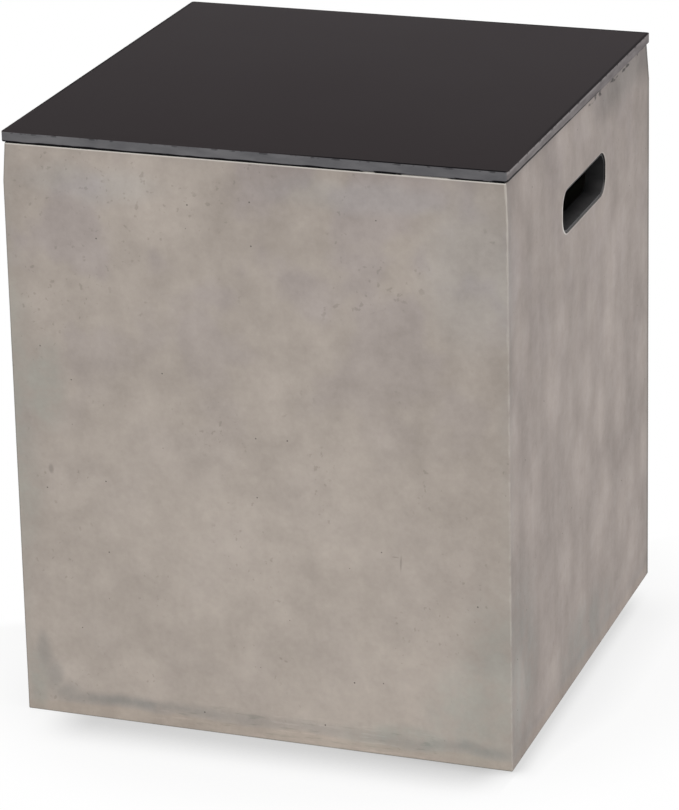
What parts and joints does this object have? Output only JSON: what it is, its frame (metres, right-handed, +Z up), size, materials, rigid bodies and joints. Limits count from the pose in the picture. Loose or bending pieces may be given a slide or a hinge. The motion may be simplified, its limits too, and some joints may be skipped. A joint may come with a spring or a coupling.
{
  "type": "propane tank cover table",
  "caption": "Square patio side table that hides a propane tank: a moulded concrete shell, open below, with side hand holds, a hose notch and a thin dark lift-off top.",
  "frame": {"origin": "on the floor under the middle of the square footprint", "axes": "+Z up, -Y towards the front, +X and -X through the two side walls with the hand holds"},
  "size_m": [0.4036, 0.4036, 0.48],
  "materials": {
    "concrete": "matte",
    "table_top": "satin",
    "black_plastic": "matte",
    "grey_plastic": "matte",
    "glide_plastic": "satin",
    "pad_rubber": "matte",
    "screw_steel": "satin"
  },
  "bodies": {
    "cover": {"shell": "concrete", "hand_hold_liner_right": "black_plastic", "hand_hold_liner_left": "black_plastic", "liner_screws": "screw_steel", "corner_block_front_left": "grey_plastic", "glide_front_left": "glide_plastic", "corner_block_front_right": "grey_plastic", "glide_front_right": "glide_plastic", "corner_block_back_right": "grey_plastic", "glide_back_right": "glide_plastic", "corner_block_back_left": "grey_plastic", "glide_back_left": "glide_plastic", "glide_screws": "screw_steel"},
    "lid": {"lid_panel": "table_top", "lid_strip_front": "black_plastic", "lid_strip_right": "black_plastic", "lid_strip_back": "black_plastic", "lid_strip_left": "black_plastic", "strip_screws": "screw_steel", "lid_pad_front_left": "pad_rubber", "lid_pad_front_right": "pad_rubber", "lid_pad_back_right": "pad_rubber", "lid_pad_back_left": "pad_rubber"}
  },
  "joints": [
    {"name": "lid_lift", "type": "slide", "parent": "cover", "child": "lid", "axis": [0, 0, 1], "range_m": [0, 0.2]}
  ]
}
